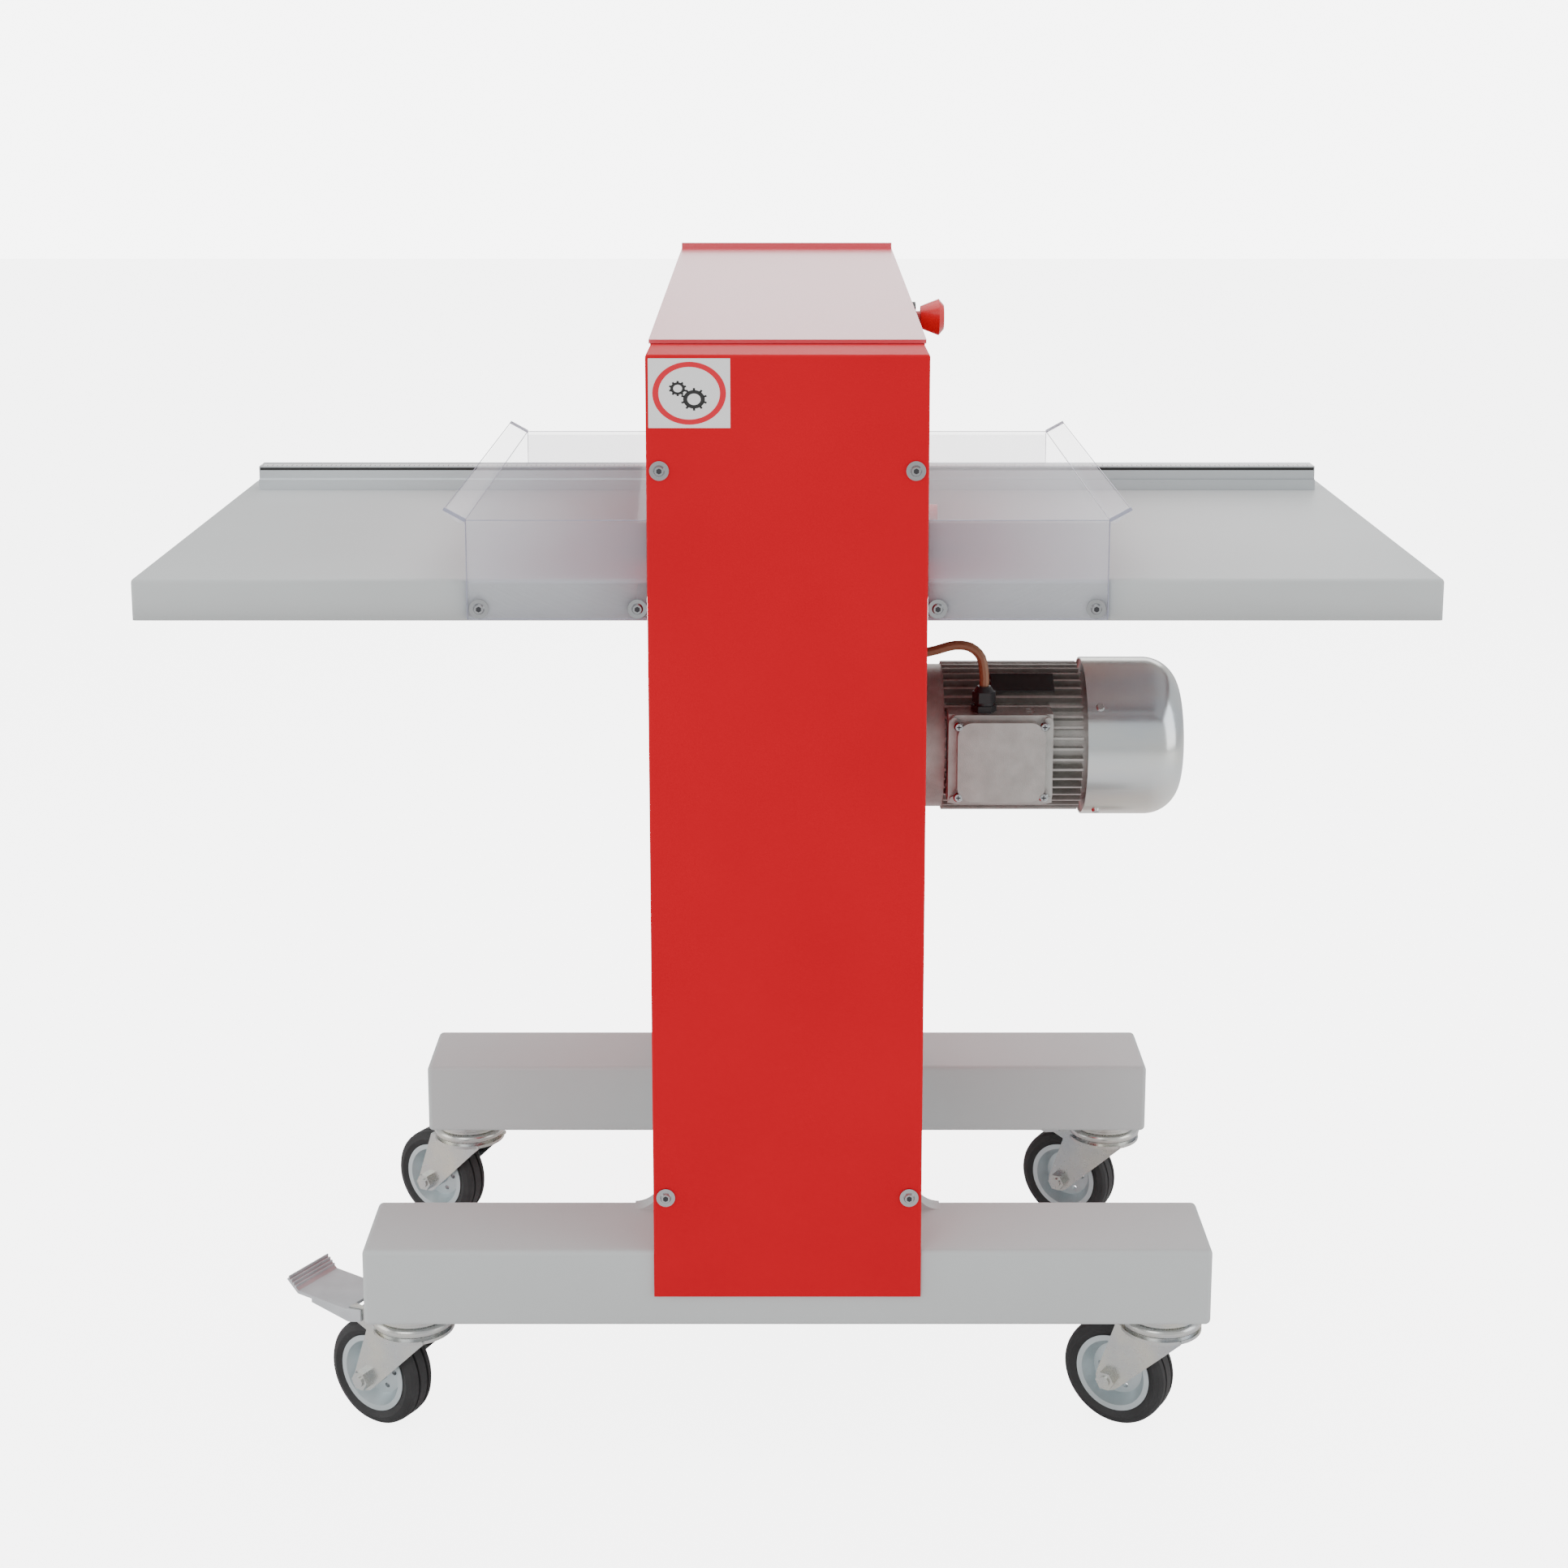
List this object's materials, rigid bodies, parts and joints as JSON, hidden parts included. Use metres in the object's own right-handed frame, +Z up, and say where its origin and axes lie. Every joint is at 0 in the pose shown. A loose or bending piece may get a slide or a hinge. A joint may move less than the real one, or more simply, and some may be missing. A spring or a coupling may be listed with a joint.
{
  "type": "roller press",
  "caption": "Motor-driven roller press on castors with geared rollers, infeed and outfeed tables, clear guards and a sheet-metal housing.",
  "frame": {"origin": "on the floor, under the middle of the bounding box", "axes": "+X along the sheet path to the outfeed table, +Y along the rollers away from the gear cover, +Z up"},
  "size_m": [1.112, 0.8068, 1.0335],
  "materials": {
    "red_paint": "fine-textured powder coat",
    "grey_paint": "light grey powder coat",
    "zinc": "bright zinc plate",
    "steel": "ground steel",
    "cast_aluminium": "as cast",
    "aluminium": "anodised",
    "clear_sheet": "clear polycarbonate",
    "black_plastic": "moulded",
    "red_plastic": "moulded",
    "gear_steel": "machined",
    "tyre_rubber": "matt",
    "cable_sheath": "matt"
  },
  "bodies": {
    "frame": {"gear_cover": "red_paint", "left_wall": "red_paint", "right_wall": "red_paint", "drive_cabinet": "red_paint", "cabinet_panel": "red_paint", "top_lid": "red_paint", "near_beam": "grey_paint", "far_beam": "grey_paint", "near_side_plate": "grey_paint", "far_side_plate": "grey_paint", "gearbox_shelf": "grey_paint", "infeed_table": "grey_paint", "outfeed_table": "grey_paint", "table_brackets": "grey_paint", "cover_screws": "zinc", "guard_screws": "zinc", "castor_heads": "zinc", "fan_cover": "zinc", "tie_bars": "steel", "roller_bearings": "steel", "gearbox": "cast_aluminium", "motor_adapter": "cast_aluminium", "motor_body": "cast_aluminium", "terminal_box": "cast_aluminium", "infeed_rail": "aluminium", "outfeed_rail": "aluminium", "infeed_guard": "clear_sheet", "outfeed_guard": "clear_sheet", "cable_gland": "black_plastic", "estop_collar": "black_plastic", "motor_cable": "cable_sheath"},
    "lower_roller_set": {"lower_roller": "steel", "lower_gear": "gear_steel"},
    "upper_roller_set": {"upper_roller": "steel", "upper_gear": "gear_steel"},
    "drive_shaft": {"output_shaft": "steel", "drive_gear": "gear_steel"},
    "motor_shaft": {"worm_shaft": "steel", "motor_rotor": "steel", "motor_fan": "black_plastic"},
    "estop": {"estop_head": "red_plastic"},
    "jog": {"jog_button": "red_plastic"},
    "castor_1": {"castor_fork_1": "zinc", "castor_axle_1": "zinc"},
    "wheel_1": {"castor_rim_1": "zinc", "castor_tyre_1": "tyre_rubber"},
    "castor_2": {"castor_fork_2": "zinc", "castor_axle_2": "zinc"},
    "wheel_2": {"castor_rim_2": "zinc", "castor_tyre_2": "tyre_rubber"},
    "castor_3": {"castor_fork_3": "zinc", "castor_axle_3": "zinc"},
    "wheel_3": {"castor_rim_3": "zinc", "castor_tyre_3": "tyre_rubber"},
    "castor_4": {"castor_fork_4": "zinc", "castor_axle_4": "zinc"},
    "wheel_4": {"castor_rim_4": "zinc", "castor_tyre_4": "tyre_rubber"},
    "pedal_1": {"brake_pedal_1": "zinc"},
    "pedal_4": {"brake_pedal_4": "zinc"}
  },
  "joints": [
    {"name": "lower_roller_spin", "type": "hinge", "parent": "frame", "child": "lower_roller_set", "pos_m": [0, -0.1, 0.754], "axis": [0, 1, 0], "continuous": true},
    {"name": "upper_roller_spin", "type": "hinge", "parent": "frame", "child": "upper_roller_set", "pos_m": [0, -0.1, 0.856], "axis": [0, 1, 0], "continuous": true},
    {"name": "drive_shaft_spin", "type": "hinge", "parent": "frame", "child": "drive_shaft", "pos_m": [0, -0.1, 0.652], "axis": [0, 1, 0], "continuous": true},
    {"name": "motor_spin", "type": "hinge", "parent": "frame", "child": "motor_shaft", "pos_m": [0.1, -0.1, 0.591], "axis": [1, 0, 0], "continuous": true},
    {"name": "estop_push", "type": "slide", "parent": "frame", "child": "estop", "axis": [-1, 0, 0], "range_m": [0, 0.004]},
    {"name": "jog_push", "type": "slide", "parent": "frame", "child": "jog", "axis": [-1, 0, 0], "range_m": [0, 0.003], "stiffness_N_per_m": 400},
    {"name": "castor_swivel_1", "type": "hinge", "parent": "frame", "child": "castor_1", "pos_m": [-0.34, -0.347, 0.11], "axis": [0, 0, 1], "continuous": true},
    {"name": "wheel_roll_1", "type": "hinge", "parent": "castor_1", "child": "wheel_1", "pos_m": [-0.37392, -0.3258, 0.05], "axis": [0.5299, 0.848, 0], "continuous": true},
    {"name": "castor_swivel_2", "type": "hinge", "parent": "frame", "child": "castor_2", "pos_m": [0.34, -0.347, 0.11], "axis": [0, 0, 1], "continuous": true},
    {"name": "wheel_roll_2", "type": "hinge", "parent": "castor_2", "child": "wheel_2", "pos_m": [0.30608, -0.3258, 0.05], "axis": [0.5299, 0.848, 0], "continuous": true},
    {"name": "castor_swivel_3", "type": "hinge", "parent": "frame", "child": "castor_3", "pos_m": [-0.34, 0.067, 0.11], "axis": [0, 0, 1], "continuous": true},
    {"name": "wheel_roll_3", "type": "hinge", "parent": "castor_3", "child": "wheel_3", "pos_m": [-0.37392, 0.0882, 0.05], "axis": [0.5299, 0.848, 0], "continuous": true},
    {"name": "castor_swivel_4", "type": "hinge", "parent": "frame", "child": "castor_4", "pos_m": [0.34, 0.067, 0.11], "axis": [0, 0, 1], "continuous": true},
    {"name": "wheel_roll_4", "type": "hinge", "parent": "castor_4", "child": "wheel_4", "pos_m": [0.30608, 0.0882, 0.05], "axis": [0.5299, 0.848, 0], "continuous": true},
    {"name": "brake_press_1", "type": "hinge", "parent": "castor_1", "child": "pedal_1", "pos_m": [-0.38071, -0.32156, 0.112], "axis": [-0.5299, -0.848, 0], "range_deg": [0, 8]},
    {"name": "brake_press_4", "type": "hinge", "parent": "castor_4", "child": "pedal_4", "pos_m": [0.29929, 0.09244, 0.112], "axis": [-0.5299, -0.848, 0], "range_deg": [0, 8]}
  ],
  "couplings": [
    {"joint": "upper_roller_spin", "follows": "lower_roller_spin", "ratio": -1},
    {"joint": "drive_shaft_spin", "follows": "lower_roller_spin", "ratio": -1},
    {"joint": "motor_spin", "follows": "lower_roller_spin", "ratio": 36}
  ]
}
